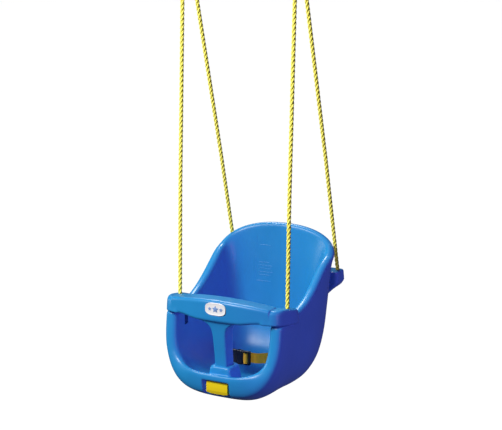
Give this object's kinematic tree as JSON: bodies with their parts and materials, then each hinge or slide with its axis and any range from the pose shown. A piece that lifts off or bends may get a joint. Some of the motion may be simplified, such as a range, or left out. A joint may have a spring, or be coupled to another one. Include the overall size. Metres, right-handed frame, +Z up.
{
  "type": "toddler bucket swing",
  "caption": "High-backed plastic bucket swing for a toddler, hung on ropes and rings, with a front bar that slides up its ropes, a front latch and a lap belt.",
  "frame": {"origin": "midway between the two hanging points, where a hook bears on the inside of each ring's round top", "axes": "+Z up, +X to the right as seen from in front of the swing, -Y towards the front, the way the child faces"},
  "size_m": [0.4158, 0.4764, 1.4122],
  "materials": {
    "seat_plastic": "satin moulded blue",
    "latch_plastic": "satin moulded yellow",
    "badge_plastic": "satin white",
    "rope": "twisted polypropylene, yellow",
    "webbing": "woven, golden yellow",
    "buckle_plastic": "matt black",
    "stop_plastic": "matt black",
    "steel": "zinc plated"
  },
  "bodies": {
    "rings": {"ring_left": "steel", "ring_right": "steel"},
    "seat": {"seat_bucket": "seat_plastic", "latch_pin": "steel", "latch_spring": "steel", "rope_front_left": "rope", "rope_stop_front_left": "stop_plastic", "rope_ferrule_front_left": "steel", "rope_rear_left": "rope", "rope_stop_rear_left": "stop_plastic", "rope_ferrule_rear_left": "steel", "belt_strap_left": "webbing", "belt_screw_left": "steel", "belt_washer_left": "steel", "rope_front_right": "rope", "rope_stop_front_right": "stop_plastic", "rope_ferrule_front_right": "steel", "rope_rear_right": "rope", "rope_stop_rear_right": "stop_plastic", "rope_ferrule_rear_right": "steel", "belt_strap_right": "webbing", "belt_screw_right": "steel", "belt_washer_right": "steel", "buckle_socket": "buckle_plastic"},
    "t_bar": {"t_bar": "seat_plastic", "badge": "badge_plastic"},
    "latch": {"latch": "latch_plastic"},
    "buckle_plug": {"buckle_plug": "buckle_plastic"}
  },
  "joints": [
    {"name": "swing", "type": "hinge", "parent": "rings", "child": "seat", "pos_m": [0, 0, -0.05], "axis": [1, 0, 0], "range_deg": [-45, 45]},
    {"name": "t_bar_slide", "type": "slide", "parent": "seat", "child": "t_bar", "axis": [0, 0.103, 0.9947], "range_m": [0, 0.28]},
    {"name": "latch_release", "type": "hinge", "parent": "seat", "child": "latch", "pos_m": [0, -0.22524, -1.35245], "axis": [1, 0, 0], "range_deg": [0, 15], "stiffness_Nm_per_rad": 0.1, "springref_deg": -20.05},
    {"name": "buckle_release", "type": "slide", "parent": "seat", "child": "buckle_plug", "axis": [-1, 0, 0], "range_m": [0, 0.025], "deforming": ["belt_strap_left"]}
  ]
}
